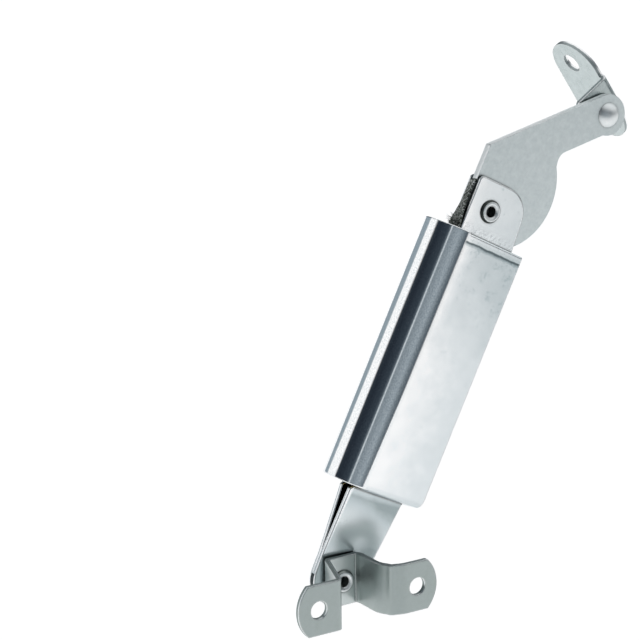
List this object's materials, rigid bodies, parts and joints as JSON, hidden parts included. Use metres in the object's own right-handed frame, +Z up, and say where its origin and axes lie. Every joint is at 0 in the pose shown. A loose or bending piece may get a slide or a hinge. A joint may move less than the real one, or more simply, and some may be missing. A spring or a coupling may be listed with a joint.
{
  "type": "chest lid stay",
  "caption": "Spring-loaded chest lid stay: pressed housing with rounded nose, eccentric cam arm, strap and spring inside, and riveted wall and lid brackets.",
  "frame": {"origin": "middle of the wall bracket's two screw holes, on the faces of its feet that lie against the wall", "axes": "+X along the wall bracket's strip towards the side that the arm leans to, +Y from the wall face into the stay, +Z up"},
  "size_m": [0.1535, 0.0479, 0.1762],
  "materials": {
    "zinc_shell": "bright zinc plated sheet steel, mirror-like on the nose, satin on the flat sides",
    "zinc_bracket": "bright zinc plated sheet steel, satin",
    "zinc_arm": "matt grey zinc plated steel plate with sheared edges",
    "zinc_rivet": "bright zinc plated steel, smooth",
    "dull_steel": "dull zinc plated steel",
    "spring_wire": "drawn spring wire, lightly oiled",
    "crimp_brass": "dull crimped brass",
    "woven_strap": "woven polyester webbing, dark green-grey with light specks"
  },
  "bodies": {
    "wall_bracket": {"wall_bracket": "zinc_bracket"},
    "housing": {"spring_housing": "zinc_shell", "lower_rivet": "zinc_rivet", "lower_washer": "dull_steel", "cam_rivet": "zinc_rivet", "cam_sleeve": "dull_steel", "spring_seat": "dull_steel", "compression_spring": "spring_wire"},
    "cam_arm": {"cam_arm": "zinc_arm", "upper_rivet": "zinc_rivet", "upper_washer": "dull_steel", "strap_nipple": "crimp_brass", "pull_strap": "woven_strap"},
    "spring_cap": {"spring_cap": "dull_steel", "strap_stop": "crimp_brass"},
    "lid_bracket": {"lid_bracket": "zinc_bracket"}
  },
  "joints": [
    {"name": "lower_pivot", "type": "hinge", "parent": "wall_bracket", "child": "housing", "pos_m": [0, 0.02113, 0], "axis": [0, 1, 0], "continuous": true},
    {"name": "arm_pivot", "type": "hinge", "parent": "housing", "child": "cam_arm", "pos_m": [0.05902, 0.02113, 0.11583], "axis": [0, 1, 0], "range_deg": [0, 95], "stiffness_Nm_per_rad": 2.5, "springref_deg": -20.05, "deforming": ["pull_strap"]},
    {"name": "spring_pull", "type": "slide", "parent": "housing", "child": "spring_cap", "axis": [0.454, 0, 0.891], "range_m": [0, 0.0205], "deforming": ["compression_spring"]},
    {"name": "upper_pivot", "type": "hinge", "parent": "cam_arm", "child": "lid_bracket", "pos_m": [0.10887, 0.02113, 0.14296], "axis": [0, 1, 0], "continuous": true}
  ],
  "couplings": [
    {"joint": "spring_pull", "follows": "arm_pivot", "m_per_rad": 0.012}
  ]
}
